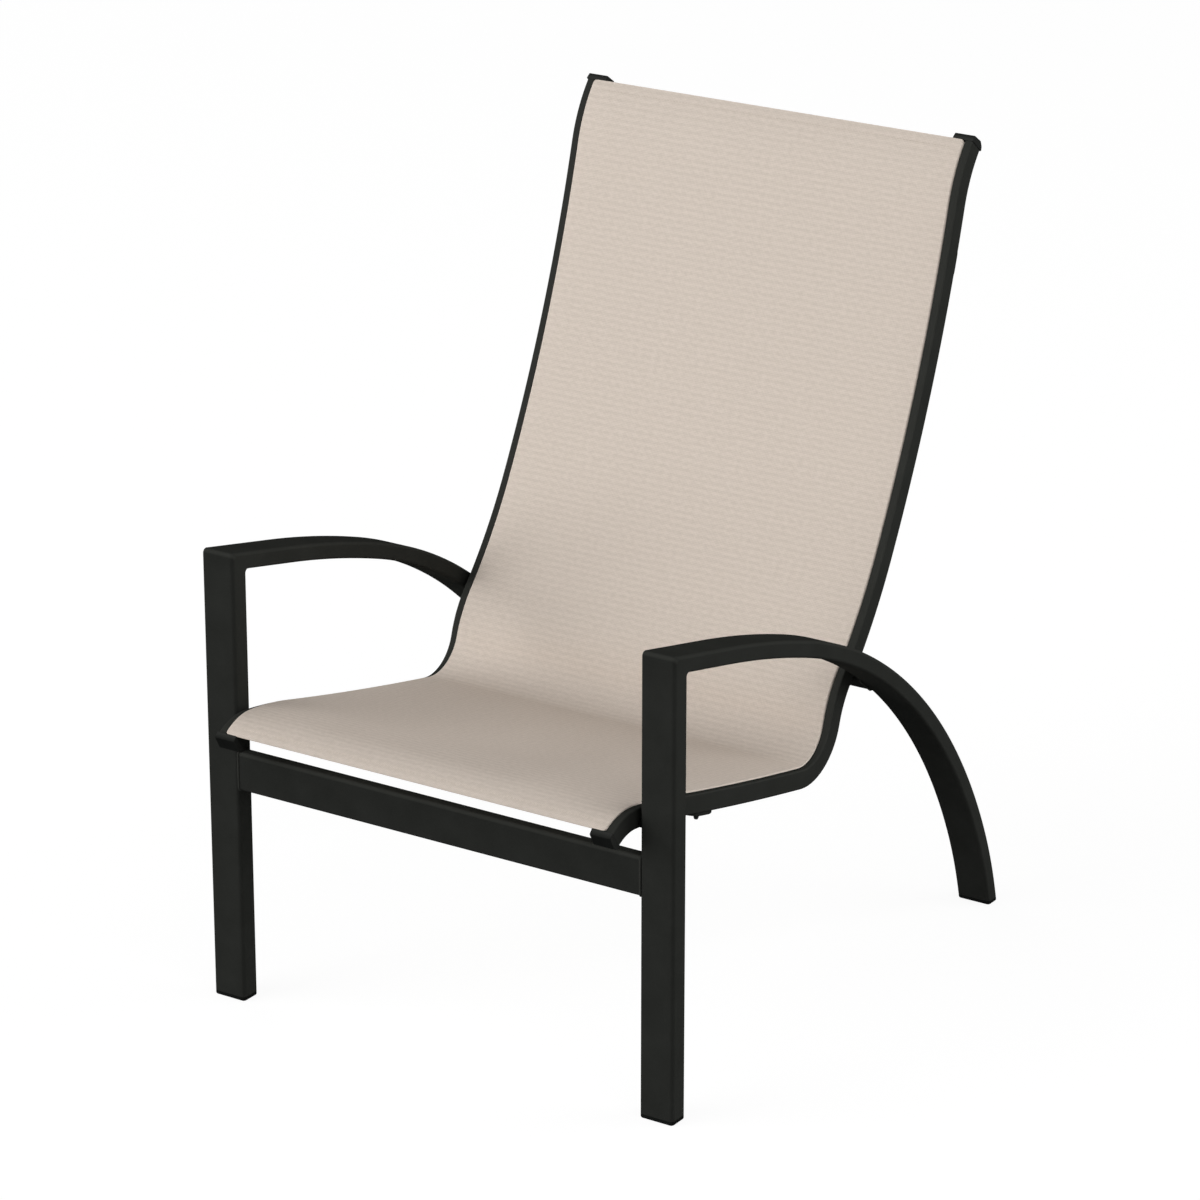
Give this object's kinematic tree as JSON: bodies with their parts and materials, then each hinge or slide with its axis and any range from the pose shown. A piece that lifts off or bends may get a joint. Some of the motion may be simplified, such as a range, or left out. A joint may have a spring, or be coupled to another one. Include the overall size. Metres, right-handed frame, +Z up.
{
  "type": "sling patio chair",
  "caption": "High-back patio armchair: a woven mesh sling stretched between two bent side rails, on a welded frame with flat arms that sweep down into the rear legs.",
  "frame": {"origin": "on the floor, under the middle of the chair's width and depth", "axes": "+Z up, -Y towards the front of the seat, +X towards the sitter's left"},
  "size_m": [0.66, 0.8238, 0.9997],
  "materials": {
    "frame": "matte charcoal-black powder coat on aluminium tube",
    "sling": "sand-beige vinyl-coated polyester mesh with fine crosswise ribs",
    "plastic": "black moulded nylon",
    "spline": "extruded rod",
    "hardware": "black-coated steel"
  },
  "bodies": {
    "root": {"left_front_leg": "frame", "right_front_leg": "frame", "left_arm_rear_leg": "frame", "right_arm_rear_leg": "frame", "front_crossbar": "frame", "rear_crossbar": "frame", "left_sling_rail": "frame", "right_sling_rail": "frame", "seat_spreader_bar": "frame", "back_spreader_bar": "frame", "left_front_glide": "plastic", "right_front_glide": "plastic", "left_rear_glide": "plastic", "right_rear_glide": "plastic", "left_front_rail_cap": "plastic", "right_front_rail_cap": "plastic", "left_top_rail_cap": "plastic", "right_top_rail_cap": "plastic", "left_front_spacer": "plastic", "right_front_spacer": "plastic", "left_rear_spacer": "plastic", "right_rear_spacer": "plastic", "sling": "sling", "left_spline": "spline", "right_spline": "spline", "left_front_rail_bolt": "hardware", "right_front_rail_bolt": "hardware", "left_rear_rail_bolt": "hardware", "right_rear_rail_bolt": "hardware", "left_seat_spreader_bolt": "hardware", "right_seat_spreader_bolt": "hardware", "left_back_spreader_bolt": "hardware", "right_back_spreader_bolt": "hardware"}
  },
  "joints": []
}
